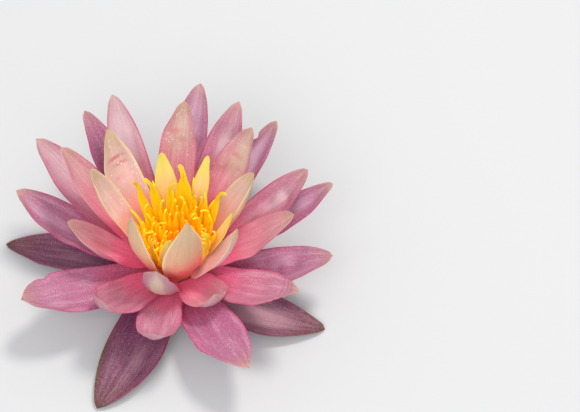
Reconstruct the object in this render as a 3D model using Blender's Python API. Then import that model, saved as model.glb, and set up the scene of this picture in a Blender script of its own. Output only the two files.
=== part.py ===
"""A picked water lily flower, cut close under its head and standing on the cut stalk and its sepals.

Metres, +Z up. The origin is the centre of the stalk's cut face, which lies on the table.
Azimuths run anticlockwise from +X, seen from above. Sizes in the tables below are in millimetres and degrees.
"""

import math

import bmesh
import bpy
from mathutils import Matrix, Vector

MM = 0.001
GAP = 0.35 * MM  # clearance between pieces that touch on the real flower
LEAN_FROM, LEAN_TO = 4.0 * MM, 16.0 * MM  # between these heights the head's axis drifts toward +X
LEAN_SLOPE = 0.35

# ---- Stalk, receptacle and stigma: radius and height pairs of turned profiles ----
STALK_RADIUS = 3.6 * MM
STALK_HEIGHT = 2.6 * MM
TURN_STEPS = 24
RECEPTACLE_PROFILE = [  # up the outside, with three steps at the top that carry the stamens
    (4.2, 2.95), (6.0, 4.0), (8.0, 7.6), (8.8, 11.5), (8.8, 16.1),
    (7.45, 16.1), (7.45, 17.6), (6.05, 17.6), (6.05, 19.1), (4.65, 19.1), (4.65, 20.3),
]
STIGMA_PROFILE = [  # a shallow dish with a raised rim and a small knob in the middle
    (4.0, 20.65), (4.6, 21.9), (4.2, 22.3), (2.9, 21.7), (1.2, 21.5), (0.7, 22.5),
]

# ---- Petals ----
PETAL_THICKNESS = 0.8 * MM
STATIONS = 8  # rows of faces from the seat to the tip
SUB_STEPS = 6  # steps along the spine for each row
CURL_START = 0.62  # where along the petal an extra curl of the tip sets in
TIP_WIDTH = 1.0 * MM
# strips: strips of faces from edge to edge; claw: width at the seat as a share of the widest; widest: where along the petal it is broadest;
# cup: half the angle of the cross-section's arc, at the seat, in the middle and at the tip.
SHAPES = {
    "sepal": {"claw": 0.34, "widest": 0.50, "strips": 4, "cup": (20, 24, 32), "color": (0.50, 0.30, 0.38)},
    "outer_petal": {"claw": 0.32, "widest": 0.60, "strips": 4, "cup": (25, 27, 42), "color": (0.85, 0.45, 0.62)},
    "second_petal": {"claw": 0.32, "widest": 0.60, "strips": 4, "cup": (22, 30, 44), "color": (0.88, 0.46, 0.60)},
    "third_petal": {"claw": 0.32, "widest": 0.58, "strips": 4, "cup": (18, 34, 46), "color": (0.92, 0.50, 0.56)},
    "inner_petal": {"claw": 0.34, "widest": 0.56, "strips": 4, "cup": (16, 36, 46), "color": (0.93, 0.68, 0.58)},
    "yellow_petal": {"claw": 0.34, "widest": 0.50, "strips": 2, "cup": (14, 30, 35), "color": (0.95, 0.75, 0.25)},
    "petal_stamen": {"claw": 0.50, "widest": 0.40, "strips": 2, "cup": (12, 24, 20), "color": (0.98, 0.70, 0.08)},
}
# One row for each petal: azimuth, lift of the seat-to-tip line, its length, widest width, bend from seat
# to tip (positive curls up), extra curl of the last third, sideways bow at mid-length, height of the seat.
PETALS = {
    "sepal": [
        (72, -4, 57, 20, -12, 0, 0, 4.9), (168, -4, 58, 17, -12, 0, 1, 4.9),
        (246, -4, 55, 22, -12, 0, 3, 4.9), (338, -4, 56, 19, -12, 0, -5, 4.9),
    ],
    "outer_petal": [
        (18, 26, 61, 13, 22, 0, -1, 7.8), (52, 23, 61, 12, 20, 0, 0, 6.7),
        (81, 27, 63, 15, 20, 0, 2, 7.9), (122, 25, 61, 13, 20, 0, 0, 6.9),
        (160, 20, 57, 16, 24, 0, 2, 7.6), (204, 19, 53, 20, 16, 0, 1, 6.9),
        (300, 17, 53, 20, 8, 0, -1.5, 7.4), (356, 17, 55, 17, 24, 0, -2, 6.4),
    ],
    "second_petal": [
        (24, 33, 55, 16, 24, 0, -2, 9.6), (64, 36, 58, 15, 22, 0, 0, 9.8), (114, 37, 60, 14, 22, 0, 1.5, 9.8),
        (146, 33, 62, 16, 24, 0, 1, 9.2), (229, 36, 37, 18, 20, 60, 0, 9.9), (262, 28, 37, 17, 15, 50, 0, 8.8),
        (331, 29, 51, 17, 26, 0, -1, 9.2),
    ],
    "third_petal": [
        (4, 39, 45, 15, 30, 0, -1, 11.4), (50, 47, 52, 16, 26, 0, 0, 11.9), (85, 49, 54, 15, 26, 0, 2, 11.4),
        (149, 46, 55, 14, 26, 0, 1, 11.9), (180, 44, 40, 13, 36, 0, 1, 11.4), (254, 64, 21, 16, 120, 0, 0, 12.5),
        (303, 36, 24.5, 18, 20, 80, 0, 11.2),
    ],
    "inner_petal": [
        (28, 56, 42, 13, 32, 0, 0, 13.6), (128, 52, 50, 15, 30, 0, 2, 13.2), (160, 63, 49, 12, 34, 0, 0, 14.2),
        (214, 81, 45, 16, 40, 0, 0, 13.2), (299, 86, 44, 18, 44, 0, -3, 12.8), (338, 66, 39, 15, 46, 0, 0, 13.2),
    ],
    "yellow_petal": [
        (63, 64, 37, 8, 26, 0, 0, 15.2), (103, 68, 38, 9, 26, 0, 0, 15.2),
        (261, 86, 30, 8, 16, 0, -0.5, 15.2), (6, 67, 29, 6, 30, 0, 0, 15.2),
    ],
    "petal_stamen": [
        (142, 68, 30, 3.6, 20, 0, 0, 17.0), (121, 70, 29, 4.0, 20, 0, 0, 17.0), (102, 76, 26, 3.8, 20, 0, 0, 17.0),
        (83, 70, 31, 4.4, 20, 0, 0, 17.0), (65, 77, 23, 3.2, 20, 0, 0, 17.2), (48, 72, 22, 3.4, 20, 0, 0, 17.0),
        (31, 66, 26, 4.0, 20, 0, 0, 17.0), (172, 72, 25, 3.6, 20, 0, 0, 17.0), (225, 82, 24, 3.6, 16, 0, 0, 17.0),
        (334, 82, 24, 4.0, 16, 0, 0, 17.0),
    ],
}

# ---- Stamens: collar height and mid radius, count, then length, lift (at the back, at the front) and bend of one stamen ----
COLLAR_SIZE = 0.8 * MM
STAMEN_STEPS = 4
STAMEN_TIP = 0.45  # width at the tip as a share of the base
STAMENS = {
    "outer_stamens": {"height": 16.45, "radius": 8.3, "count": 16, "length": 17, "lift": (78, 86), "bend": 12, "phase": 0.0},
    "middle_stamens": {"height": 17.95, "radius": 6.85, "count": 14, "length": 14, "lift": (79, 85), "bend": 20, "phase": 0.5},
    "inner_stamens": {"height": 19.45, "radius": 5.45, "count": 10, "length": 11, "lift": (86, 88), "bend": 30, "phase": 0.25},
}

ROUGHNESS = 0.55


def clear_scene():
    for old in list(bpy.data.objects):
        bpy.data.objects.remove(old, do_unlink=True)


def material(name, color):
    """A plain matte finish, made once for each name."""
    made = bpy.data.materials.get(name)
    if made is None:
        made = bpy.data.materials.new(name)
        made.use_nodes = True
        shader = made.node_tree.nodes["Principled BSDF"]
        shader.inputs["Base Color"].default_value = (*color, 1.0)
        shader.inputs["Roughness"].default_value = ROUGHNESS
        shader.inputs["Metallic"].default_value = 0.0
    return made


def new_object(name, bm, finish):
    """Turns a bmesh into a named, smooth-shaded object with its material."""
    mesh = bpy.data.meshes.new(name)
    bm.to_mesh(mesh)
    bm.free()
    mesh.shade_smooth()
    mesh.materials.append(finish)
    piece = bpy.data.objects.new(name, mesh)
    bpy.context.scene.collection.objects.link(piece)
    return piece


def blend(ends, middle, u):
    """A value that runs from ends[0] through middle to ends[1] as u goes from 0 to 1."""
    side = 2 * u - 1
    end = ends[0] if side < 0 else ends[1]
    return middle + (end - middle) * side * side


def lean(height):
    """How far the head's axis has drifted toward +X at a height."""
    return LEAN_SLOPE * (min(max(height, LEAN_FROM), LEAN_TO) - LEAN_FROM)


def turned(name, profile, finish):
    """A solid of revolution from radius and height pairs, closed onto the axis at both ends."""
    points = [(0.0, profile[0][1]), *profile, (0.0, profile[-1][1])]
    bm = bmesh.new()
    line = [bm.verts.new((radius * MM, 0.0, height * MM)) for radius, height in points]
    edges = [bm.edges.new(pair) for pair in zip(line, line[1:])]
    bmesh.ops.spin(
        bm, geom=line + edges, cent=(0, 0, 0), axis=(0, 0, 1), angle=math.tau, steps=TURN_STEPS, use_merge=True
    )
    bmesh.ops.remove_doubles(bm, verts=bm.verts, dist=0.01 * MM)
    bmesh.ops.recalc_face_normals(bm, faces=bm.faces)
    for vert in bm.verts:
        vert.co.x += lean(vert.co.z)
    return new_object(name, bm, finish)


def receptacle_radius(height):
    """Radius of the receptacle's side at a height in metres, read along its profile."""
    side = RECEPTACLE_PROFILE[:5]
    for (r0, z0), (r1, z1) in zip(side, side[1:]):
        if height <= z1 * MM:
            return (r0 + (r1 - r0) * (height / MM - z0) / (z1 - z0)) * MM
    return side[-1][0] * MM


def half_width(u, width, shape):
    """Half the petal's width at u: a narrow claw, a broad middle and a pointed tip."""
    if u < shape["widest"]:
        toward_seat = 1 - u / shape["widest"]
        share = 1 - (1 - shape["claw"]) * toward_seat**2
    else:
        toward_tip = (u - shape["widest"]) / (1 - shape["widest"])
        share = 1 - toward_tip**2
    return max(share * width, TIP_WIDTH) / 2


def spine(length, lift, bend, tip_curl):
    """Points (outward, up, heading) from seat to tip, one for each station.

    The heading turns by bend in all, and by tip_curl more over the last part; the whole line is then
    turned and scaled so that the straight line from seat to tip has the given lift and length.
    """
    count = STATIONS * SUB_STEPS
    outward, up, line = 0.0, 0.0, []
    for step in range(count + 1):
        u = step / count
        extra = max(0.0, (u - CURL_START) / (1 - CURL_START))
        heading = bend * u + tip_curl * extra * extra
        if step % SUB_STEPS == 0:
            line.append((outward, up, heading))
        outward += math.cos(heading)
        up += math.sin(heading)
    chord_x, chord_z, _ = line[-1]
    scale = length / math.hypot(chord_x, chord_z)
    turn = lift - math.atan2(chord_z, chord_x)
    c, s = math.cos(turn) * scale, math.sin(turn) * scale
    return [(x * c - z * s, x * s + z * c, heading + turn) for x, z, heading in line]


def petal(name, row, shape, finish):
    """A cupped, curved blade: a grid bent along its spine, thickened, set on the receptacle's side."""
    azimuth, lift, length, width, bend, tip_curl, bow, seat_height = row
    line = spine(length * MM, math.radians(lift), math.radians(bend), math.radians(tip_curl))
    bm = bmesh.new()
    bmesh.ops.create_grid(bm, x_segments=STATIONS, y_segments=shape["strips"], size=0.5)
    for vert in bm.verts:
        u, across = vert.co.x + 0.5, 2 * vert.co.y
        x, z, heading = line[round(u * STATIONS)]
        half = half_width(u, width * MM, shape)
        cup = math.radians(blend((shape["cup"][0], shape["cup"][2]), shape["cup"][1], u))
        rise = half * (1 - math.cos(cup * across)) / cup
        side = half * math.sin(cup * across) / cup + bow * MM * 4 * u * (1 - u)
        vert.co = (x - rise * math.sin(heading), side, z + rise * math.cos(heading))
    blade = new_object(name, bm, finish)
    thicken = blade.modifiers.new("thickness", "SOLIDIFY")
    thicken.thickness = PETAL_THICKNESS
    thicken.offset = 0.0
    seat_radius = receptacle_radius(seat_height * MM) + GAP + PETAL_THICKNESS / 2
    turn = math.radians(azimuth)
    blade.location = (
        lean(seat_height * MM) + seat_radius * math.cos(turn), seat_radius * math.sin(turn), seat_height * MM
    )
    blade.rotation_euler = (0.0, 0.0, turn)
    return blade


def collar(bm, radius, height, segments):
    """A square-section ring. Returns its top faces, one for each segment."""
    inner, outer = radius - COLLAR_SIZE / 2, radius + COLLAR_SIZE / 2
    section = [(inner, height), (outer, height), (outer, height + COLLAR_SIZE), (inner, height + COLLAR_SIZE)]
    rings = []
    for step in range(segments):
        turn = math.tau * step / segments
        rings.append([bm.verts.new((r * math.cos(turn), r * math.sin(turn), z)) for r, z in section])
    tops = []
    for ring, after in zip(rings, rings[1:] + rings[:1]):
        sides = [bm.faces.new((ring[k - 1], ring[k], after[k], after[k - 1])) for k in range(4)]
        tops.append(sides[3])
    return tops


def stamens(name, spec, finish):
    """A whorl of stamens on one collar: every other top face of the ring is drawn up into a tapering filament."""
    bm = bmesh.new()
    tops = collar(bm, spec["radius"] * MM, spec["height"] * MM, 2 * spec["count"])
    step_length = spec["length"] * MM / STAMEN_STEPS
    back, front = spec["lift"]
    bend = math.radians(spec["bend"])
    for face in tops[::2]:
        outward = face.calc_center_median()
        outward.z = 0.0
        outward.normalize()
        tangent = Vector((-outward.y, outward.x, 0.0))
        lift = math.radians(back + (front - back) * (1 - outward.y) / 2)
        for step in range(STAMEN_STEPS):
            face = bmesh.ops.extrude_discrete_faces(bm, faces=[face])["faces"][0]
            verts = list(face.verts)
            angle = lift - bend / 2 + bend * (step + 0.5) / STAMEN_STEPS
            move = (outward * math.cos(angle) + Vector((0, 0, 1)) * math.sin(angle)) * step_length
            bmesh.ops.translate(bm, verts=verts, vec=move)
            middle = face.calc_center_median()
            turn = bend / STAMEN_STEPS if step else math.pi / 2 - angle
            shrink = STAMEN_TIP ** (1 / STAMEN_STEPS)
            about = Matrix.Translation(middle)
            shape = about @ Matrix.Rotation(-turn if step else turn, 4, tangent) @ Matrix.Scale(shrink, 4)
            bmesh.ops.transform(bm, verts=verts, matrix=shape @ about.inverted())
    bmesh.ops.rotate(bm, verts=bm.verts, cent=(0, 0, 0), matrix=Matrix.Rotation(
        spec["phase"] * math.tau / spec["count"], 3, "Z"))
    bmesh.ops.recalc_face_normals(bm, faces=bm.faces)
    whorl = new_object(name, bm, finish)
    whorl.location.x = lean(spec["height"] * MM)
    return whorl


def main():
    clear_scene()
    green = material("stalk_green", (0.35, 0.30, 0.14))
    cream = material("receptacle_cream", (0.80, 0.62, 0.40))
    gold = material("stigma_gold", (0.93, 0.62, 0.10))
    orange = material("stamen_orange", (0.98, 0.55, 0.03))
    turned("flower_stalk", [(STALK_RADIUS / MM, 0.0), (STALK_RADIUS / MM, STALK_HEIGHT / MM)], green)
    turned("receptacle", RECEPTACLE_PROFILE, cream)
    turned("stigma", STIGMA_PROFILE, gold)
    for kind, rows in PETALS.items():
        finish = material(kind, SHAPES[kind]["color"])
        for number, row in enumerate(rows, start=1):
            petal(f"{kind}_{number}", row, SHAPES[kind], finish)
    for name, spec in STAMENS.items():
        stamens(name, spec, orange)


main()
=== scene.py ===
# %% [markdown]
# # A pink water lily flower
# This lesson dresses a plain model of a water lily flower in living petals and stamens. The plain model, called
# the frame here, was packed beforehand, and it says where every petal sits, how long it is and how it curves.
# One could model each petal by eye, but then the looks and the plain model would drift apart. So every fine
# piece below is grown from the measures of the plain one that it replaces.

# %% Load the plain model
import math
import random
import bmesh
import bpy
import numpy as np
from mathutils import Matrix, Vector


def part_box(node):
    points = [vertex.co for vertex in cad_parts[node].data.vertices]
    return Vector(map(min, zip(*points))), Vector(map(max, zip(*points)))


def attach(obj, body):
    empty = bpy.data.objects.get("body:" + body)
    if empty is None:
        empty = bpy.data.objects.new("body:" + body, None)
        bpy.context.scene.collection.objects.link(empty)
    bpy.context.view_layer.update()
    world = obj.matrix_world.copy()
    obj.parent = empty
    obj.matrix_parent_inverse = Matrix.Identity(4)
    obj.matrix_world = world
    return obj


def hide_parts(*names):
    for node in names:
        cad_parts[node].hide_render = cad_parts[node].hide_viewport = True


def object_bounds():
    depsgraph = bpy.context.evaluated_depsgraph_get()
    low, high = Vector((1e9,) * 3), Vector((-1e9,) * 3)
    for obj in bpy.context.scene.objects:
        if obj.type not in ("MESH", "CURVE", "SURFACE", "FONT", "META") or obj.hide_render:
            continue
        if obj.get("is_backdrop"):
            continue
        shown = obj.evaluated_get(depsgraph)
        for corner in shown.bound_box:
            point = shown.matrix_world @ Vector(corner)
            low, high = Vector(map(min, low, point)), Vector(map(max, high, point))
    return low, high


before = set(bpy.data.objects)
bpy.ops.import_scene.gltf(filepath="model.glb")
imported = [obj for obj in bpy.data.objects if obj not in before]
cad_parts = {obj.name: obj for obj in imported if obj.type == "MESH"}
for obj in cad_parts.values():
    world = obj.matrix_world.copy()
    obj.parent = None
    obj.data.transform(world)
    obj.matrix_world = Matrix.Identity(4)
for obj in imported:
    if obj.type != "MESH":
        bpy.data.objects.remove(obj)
cad_low, cad_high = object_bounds()
print("plain model from", [round(c, 4) for c in cad_low], "to", [round(c, 4) for c in cad_high])

MM = 0.001
UP = np.array([0.0, 0.0, 1.0])

# %% [markdown]
# ## Camera
# The flower is seen from the front and well from above, as one looks down at it from the edge of a pond. A long
# lens from 0.8 m keeps the petals' true proportions. The aim lies beside the flower, because the flower stands in
# the left part of the picture.

# %% Camera
AIM = Vector((0.0458, 0.0315, 0.0))
ELEVATION = math.radians(58.0)
DISTANCE = 0.80
LENS, SENSOR = 127.3, 36.0

camera_data = bpy.data.cameras.new("camera")
camera_data.lens, camera_data.sensor_width = LENS, SENSOR
camera = bpy.data.objects.new("camera", camera_data)
camera.location = AIM + DISTANCE * Vector((0.0, -math.cos(ELEVATION), math.sin(ELEVATION)))
camera.rotation_euler = (math.pi / 2 - ELEVATION, 0.0, 0.0)
bpy.context.scene.collection.objects.link(camera)
bpy.context.scene.camera = camera
print("camera at", [round(c, 3) for c in camera.location])

# %% [markdown]
# ## Floor and light
# A water lily grows in full sun, which falls steeply from behind and from the right and leaves soft-edged shadows
# of petal on petal. One small lamp high up gives that. A lamp a metre wide in front of the flower softly lifts the
# near petals, and an even, nearly white sky keeps the shadows open. The floor is plain and pale, so that nothing
# competes with the flower.

# %% Floor, lamps and sky
FLOWER_MIDDLE = Vector((0.0, 0.0, 0.03))
FLOOR_REACH = 3.0


def plain_finish(name, color, roughness):
    """A finish without a pattern, for what isn't part of the flower."""
    finish = bpy.data.materials.new(name)
    finish.use_nodes = True
    shader = finish.node_tree.nodes["Principled BSDF"]
    shader.inputs["Base Color"].default_value = (*color, 1.0)
    shader.inputs["Roughness"].default_value = roughness
    return finish


def lamp(name, azimuth, elevation, distance, size, power, color):
    """A round lamp that looks at the flower from a bearing and a height, in degrees."""
    light = bpy.data.lights.new(name, "AREA")
    light.shape, light.size, light.energy, light.color = "DISK", size, power, color
    holder = bpy.data.objects.new(name, light)
    a, e = math.radians(azimuth), math.radians(elevation)
    away = Vector((math.cos(a) * math.cos(e), math.sin(a) * math.cos(e), math.sin(e)))
    holder.location = FLOWER_MIDDLE + away * distance
    holder.rotation_euler = away.to_track_quat("Z", "Y").to_euler()
    bpy.context.scene.collection.objects.link(holder)


floor_mesh = bpy.data.meshes.new("floor")
corners = [(FLOOR_REACH * x, FLOOR_REACH * y, 0) for x, y in ((-1, -1), (1, -1), (1, 1), (-1, 1))]
floor_mesh.from_pydata(corners, [], [(0, 1, 2, 3)])
floor = bpy.data.objects.new("floor", floor_mesh)
bpy.context.scene.collection.objects.link(floor)
floor_mesh.materials.append(plain_finish("floor_pale", color=(0.60, 0.60, 0.60), roughness=0.8))
floor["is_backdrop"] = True

lamp("sun_lamp", azimuth=50, elevation=64, distance=1.0, size=0.24, power=5.0, color=(1.0, 0.97, 0.93))
lamp("fill_lamp", azimuth=255, elevation=50, distance=1.2, size=1.0, power=7.0, color=(0.97, 0.98, 1.0))
sky = bpy.data.worlds.new("sky")
sky.use_nodes = True
glow = sky.node_tree.nodes["Background"].inputs
glow["Color"].default_value = (0.95, 0.97, 1.0, 1.0)
glow["Strength"].default_value = 0.74
bpy.context.scene.world = sky
bpy.context.scene.view_settings.view_transform = "Standard"
print("floor, two lamps and a sky")

# %% [markdown]
# ## Measuring a plain petal
# Each plain petal is a curved plate made of nine rows of points from its seat on the flower to its tip. Its file
# gives those points in no useful order, and most of them several times. Sorting them by height or by distance
# would fail on petals that curve back. The tip is where points crowd closest, so the rows are found by walking
# from the tip along the edges of the mesh, one row at each step.

# %% Walk a plain mesh row by row
ROWS = 9
WELD = 1e5  # steps in a metre: points that round to the same hundredth of a millimetre are one


def welded(node):
    """A plain mesh's separate points, and which of them an edge joins."""
    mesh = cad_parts[node].data
    places = {}
    index = [places.setdefault(tuple(round(c * WELD) for c in v.co), len(places)) for v in mesh.vertices]
    joined = [set() for _ in places]
    for face in mesh.polygons:
        ring = [index[v] for v in face.vertices]
        for a, b in zip(ring, ring[1:] + ring[:1]):
            if a != b:
                joined[a].add(b)
                joined[b].add(a)
    return np.array(list(places), float) / WELD, joined


def petal_rows(node):
    """The points of a plain petal, row by row from seat to tip."""
    points, joined = welded(node)
    size = len(points) // ROWS
    gaps = np.linalg.norm(points[:, None] - points[None], axis=2)
    tip = int(np.argmin(np.sort(gaps, axis=1)[:, size - 1]))
    row = set(np.argsort(gaps[tip])[:size].tolist())
    rows, seen = [row], set(row)
    while len(rows) < ROWS:
        row = set().union(*(joined[k] for k in row)) - seen
        rows.append(row)
        seen |= row
    assert all(len(row) == size for row in rows), node
    return [points[sorted(row)] for row in reversed(rows)]


print("points in the rows of one plain petal:", [len(row) for row in petal_rows("outer_petal_1")])

# %% [markdown]
# A plain petal has a front and a back, but a fine one is easier to grow from one surface in the middle. In each
# row the points are sorted from edge to edge and paired front with back, and the middles of the pairs make a small
# grid. The sorting direction is the row's own longest direction. Near the tip a row is too small to have a clear
# one, so it keeps its neighbour's, and the last row is drawn a millimetre wide.

# %% Turn the rows into a grid on the middle surface
NARROW, TIP_WIDTH = 3.0 * MM, 1.0 * MM


def petal_grid(node):
    """Middle-surface points of a plain petal: rows from seat to tip, columns from its clockwise edge round."""
    rows = petal_rows(node)
    centres = [row.mean(axis=0) for row in rows]
    outward = (centres[ROWS // 2] - centres[0]) * (1, 1, 0)
    guess = np.cross(UP, outward / np.linalg.norm(outward))
    grid = [None] * ROWS
    start = ROWS // 2
    for order in (range(start, ROWS), range(start, -1, -1)):
        across = guess
        for k in order:
            cloud = rows[k] - centres[k]
            if np.ptp(cloud @ across) > NARROW:
                axis = np.linalg.svd(cloud)[2][0]
                across = axis if axis @ across > 0 else -axis
            ranked = rows[k][np.argsort(cloud @ across)]
            grid[k] = (ranked[0::2] + ranked[1::2]) / 2
        if order.step > 0:
            last = len(grid[-1]) - 1
            grid[-1] = np.array([centres[-1] + across * TIP_WIDTH * (c / last - 0.5) for c in range(last + 1)])
    return np.array(grid)


PETAL_NODES = sorted(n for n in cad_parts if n.rsplit("_", 1)[-1].isdigit())
GRIDS = {node: petal_grid(node) for node in PETAL_NODES}
for node in PETAL_NODES[::6]:
    spine = GRIDS[node][:, GRIDS[node].shape[1] // 2]
    chord = float(np.linalg.norm(spine[-1] - spine[0]))
    wide = np.linalg.norm(GRIDS[node][:, -1] - GRIDS[node][:, 0], axis=1).max()
    print(node, "chord", round(chord / MM, 1), "mm, width", round(wide / MM, 1), "mm")

# %% [markdown]
# ## Smooth curves and gentle noise
# A fine petal needs hundreds of points where the plain one has a few. A Catmull-Rom curve passes through every
# known point and stays smooth between them. It comes down to a table of weights, so a whole grid is refined with
# two matrix products. Living petals are never quite smooth, and a sum of a few sine waves with seeded directions
# gives soft swells that are the same in each run.

# %% Curve weights and swells
def curve_weights(count, spots):
    """Weights that carry evenly spaced known values to any spots from 0 to 1 along a smooth curve."""
    table = np.zeros((len(spots), count))
    for i, spot in enumerate(spots):
        x = min(float(spot), 1 - 1e-9) * (count - 1)
        k, t = int(x), x - int(x)
        shares = (-t + 2 * t**2 - t**3, 2 - 5 * t**2 + 3 * t**3, t + 4 * t**2 - 3 * t**3, -(t**2) + t**3)
        for j, share in zip(range(k - 1, k + 3), shares):
            if j < 0:
                table[i, 0] += share
                table[i, 1] -= share / 2
            elif j >= count:
                table[i, -1] += share
                table[i, -2] -= share / 2
            else:
                table[i, j] += share / 2
    return table


def swell(x, y, wave, rng):
    """Soft bumps between about -1 and 1 over two lengths, with a given mean wavelength."""
    total = 0.0
    for _ in range(5):
        turn, phase = rng.uniform(0, math.tau), rng.uniform(0, math.tau)
        step = math.tau / (wave * rng.uniform(0.7, 1.5))
        total = total + np.sin(step * (x * math.cos(turn) + y * math.sin(turn)) + phase)
    return total / 3.0


def ease(x, low, high):
    """0 below low, 1 above high, and a smooth climb between them."""
    t = np.clip((x - low) / (high - low), 0.0, 1.0)
    return t * t * (3 - 2 * t)


def spot(along, across, u, v, long, wide):
    """A soft oval patch on a petal, 1 in its middle."""
    return np.exp(-(((along - u) / long) ** 2) - ((across - v) / wide) ** 2)


print("weights at a known point:", curve_weights(5, [0.5])[0].round(2))

# %% [markdown]
# ## A closed petal from two sheets
# A petal is a thin closed body: an upper skin, a lower skin and a rounded margin that joins them. It could be one
# sheet with a Solidify modifier, but then the margin would be as thick as the middle. Here each cross-section is
# one closed loop of points, and the loops are joined into a tube that is capped at both ends. Stamens and the
# turned pieces are such tubes too, so one function makes the mesh of them all. Every point also carries its place
# on the piece, because the finish needs to know where the throat, the tip, the margins and the underside are.

# %% Closed tubes, and their place in the scene
def tubes_to_mesh(name, tubes):
    """One mesh from closed tubes, each a list of equal loops of points and the vector layers on them.

    The loops run anticlockwise, as seen from the last one, so that the faces look outwards."""
    points, faces, stored = [], [], {}
    for loops, layers in tubes:
        base, count, size = len(points), len(loops), len(loops[0])
        points += np.concatenate([*loops, [loops[0].mean(axis=0), loops[-1].mean(axis=0)]]).tolist()
        first, last, end = base + count * size, base + count * size + 1, base + (count - 1) * size
        for j in range(size):
            k = (j + 1) % size
            faces += [(row + j, row + k, row + size + k, row + size + j) for row in range(base, end, size)]
            faces += [(first, base + k, base + j), (last, end + j, end + k)]
        for key, values in layers.items():
            stored.setdefault(key, []).extend([values, [values[:size].mean(axis=0), values[-size:].mean(axis=0)]])
    mesh = bpy.data.meshes.new(name)
    mesh.from_pydata(points, [], faces)
    for key, values in stored.items():
        data = np.concatenate(values).astype(np.float32).ravel()
        mesh.attributes.new(key, "FLOAT_VECTOR", "POINT").data.foreach_set("vector", data)
    mesh.shade_smooth()
    return mesh


def show(mesh, finish, node):
    """Puts a mesh in the scene as the fine piece that stands for a plain node."""
    mesh.materials.append(finish)
    piece = bpy.data.objects.new(node + "_fine", mesh)
    bpy.context.scene.collection.objects.link(piece)
    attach(piece, "root")
    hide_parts(node)
    return piece


def volume(mesh):
    """The space in a closed mesh, which comes out below zero if the faces look inwards."""
    solid = bmesh.new()
    solid.from_mesh(mesh)
    space = solid.calc_volume(signed=True)
    solid.free()
    return space


square = np.array([(0, 0, 0), (1, 0, 0), (1, 1, 0), (0, 1, 0)], float)
trial = tubes_to_mesh("trial", [([square, square + UP], {})])
print("a trial box has", len(trial.polygons), "faces and a volume of", round(volume(trial), 3))
bpy.data.meshes.remove(trial)

# %% [markdown]
# ## What time and weather do to a petal
# No two petals are alike. Some margins roll over, some petals have dents that rain and crowding pressed into
# them, some have notches, and a few tips are curled or bruised. A roll bends only what lies beyond a line along
# the petal, and a curl bends all that lies beyond a place on its length. Places are shares: U runs along the
# petal from 0 at the seat to 1 at the tip, and V across it, with plus for the edge that lies anticlockwise. Rows
# lie closer towards the tip and columns towards the margins, where the shape turns fastest.

# %% Shape helpers for single petals
ALONG, ACROSS = 64, 21
TIP_CROWDING, EDGE_CROWDING = 1.45, math.pi / 2 * 0.92
U = 1 - (1 - np.linspace(0.0, 1.0, ALONG)) ** TIP_CROWDING
V = np.sin(np.linspace(-1.0, 1.0, ACROSS) * EDGE_CROWDING) / math.sin(EDGE_CROWDING)
ROLL_FADE = 0.12


def rolled(surface, half, side, start, radius, low, high, up):
    """Rolls one margin over, beyond a share of the half width, between two places along the petal."""
    edge = np.clip(side * V - start, 0.0, None)[None, :] * half[:, None]
    window = (ease(U, low, low + ROLL_FADE) * (1 - ease(U, high - ROLL_FADE, high)))[:, None]
    bend = window / radius + 1e-6
    column = int(np.argmin(np.abs(V - side * start)))
    beside = surface[:, column] - surface[:, column - int(side)]
    beside /= np.linalg.norm(beside, axis=1)[:, None]
    along = np.gradient(surface[:, column], axis=0)
    along /= np.linalg.norm(along, axis=1)[:, None]
    lift = np.cross(along, beside) * side * up
    sideways = np.sin(bend * edge) / bend - edge
    upward = (1 - np.cos(bend * edge)) / bend
    return surface + sideways[..., None] * beside[:, None] + upward[..., None] * lift[:, None]


def curled(surface, start, angle, yaw):
    """Bends a petal on from a place along it. Yaw 0 bends it to the upper side, 90 to the anticlockwise edge."""
    k, middle = int(np.searchsorted(U, start)), surface.shape[1] // 2
    along = surface[k + 1, middle] - surface[k - 1, middle]
    along /= np.linalg.norm(along)
    up = np.cross(along, surface[k, -1] - surface[k, 0])
    up /= np.linalg.norm(up)
    side = up * math.cos(yaw) + np.cross(up, along) * math.sin(yaw)
    arcs = np.cumsum(np.linalg.norm(np.diff(surface[k:, middle], axis=0), axis=1))
    bent, radius = surface.copy(), arcs[-1] / angle
    for i, arc in enumerate(arcs, start=k + 1):
        turn = angle * arc / arcs[-1]
        c, s = math.cos(turn), math.sin(turn)
        centre = surface[i, middle]
        away = surface[i] - centre
        a, b = away @ along, away @ side
        moved = centre - along * arc + along * radius * s + side * radius * (1 - c)
        bent[i] = moved + away + np.outer(a * (c - 1) - b * s, along) + np.outer(a * s + b * (c - 1), side)
    return bent


def normals(surface):
    """The upper side's direction at each point of a grid."""
    along, across = np.gradient(surface, axis=0), np.gradient(surface, axis=1)
    up = np.cross(along, across)
    return up / np.linalg.norm(up, axis=2)[..., None]


print("rows at", U[:3].round(3), "to", U[-3:].round(3), "and columns at", V[:3].round(2), "to", V[-3:].round(2))

# %% [markdown]
# ## The outline of a petal
# Real petals are blunter than the plain ones near the tip, so the outline is filled out. The value blunt fills
# the end, the less the blunter, point says how long the rounded tip is, claw widens the seat, and low moves
# breadth from the tip to the seat. A finger draws the end out to a narrow strap of so many millimetres, as on
# petals that are half stamen. A notch takes a bite out of one margin.

# %% Outline
CLAW_END, LONGEST_TIP, BLUNT_END = 0.4, 0.2, 0.003


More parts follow.
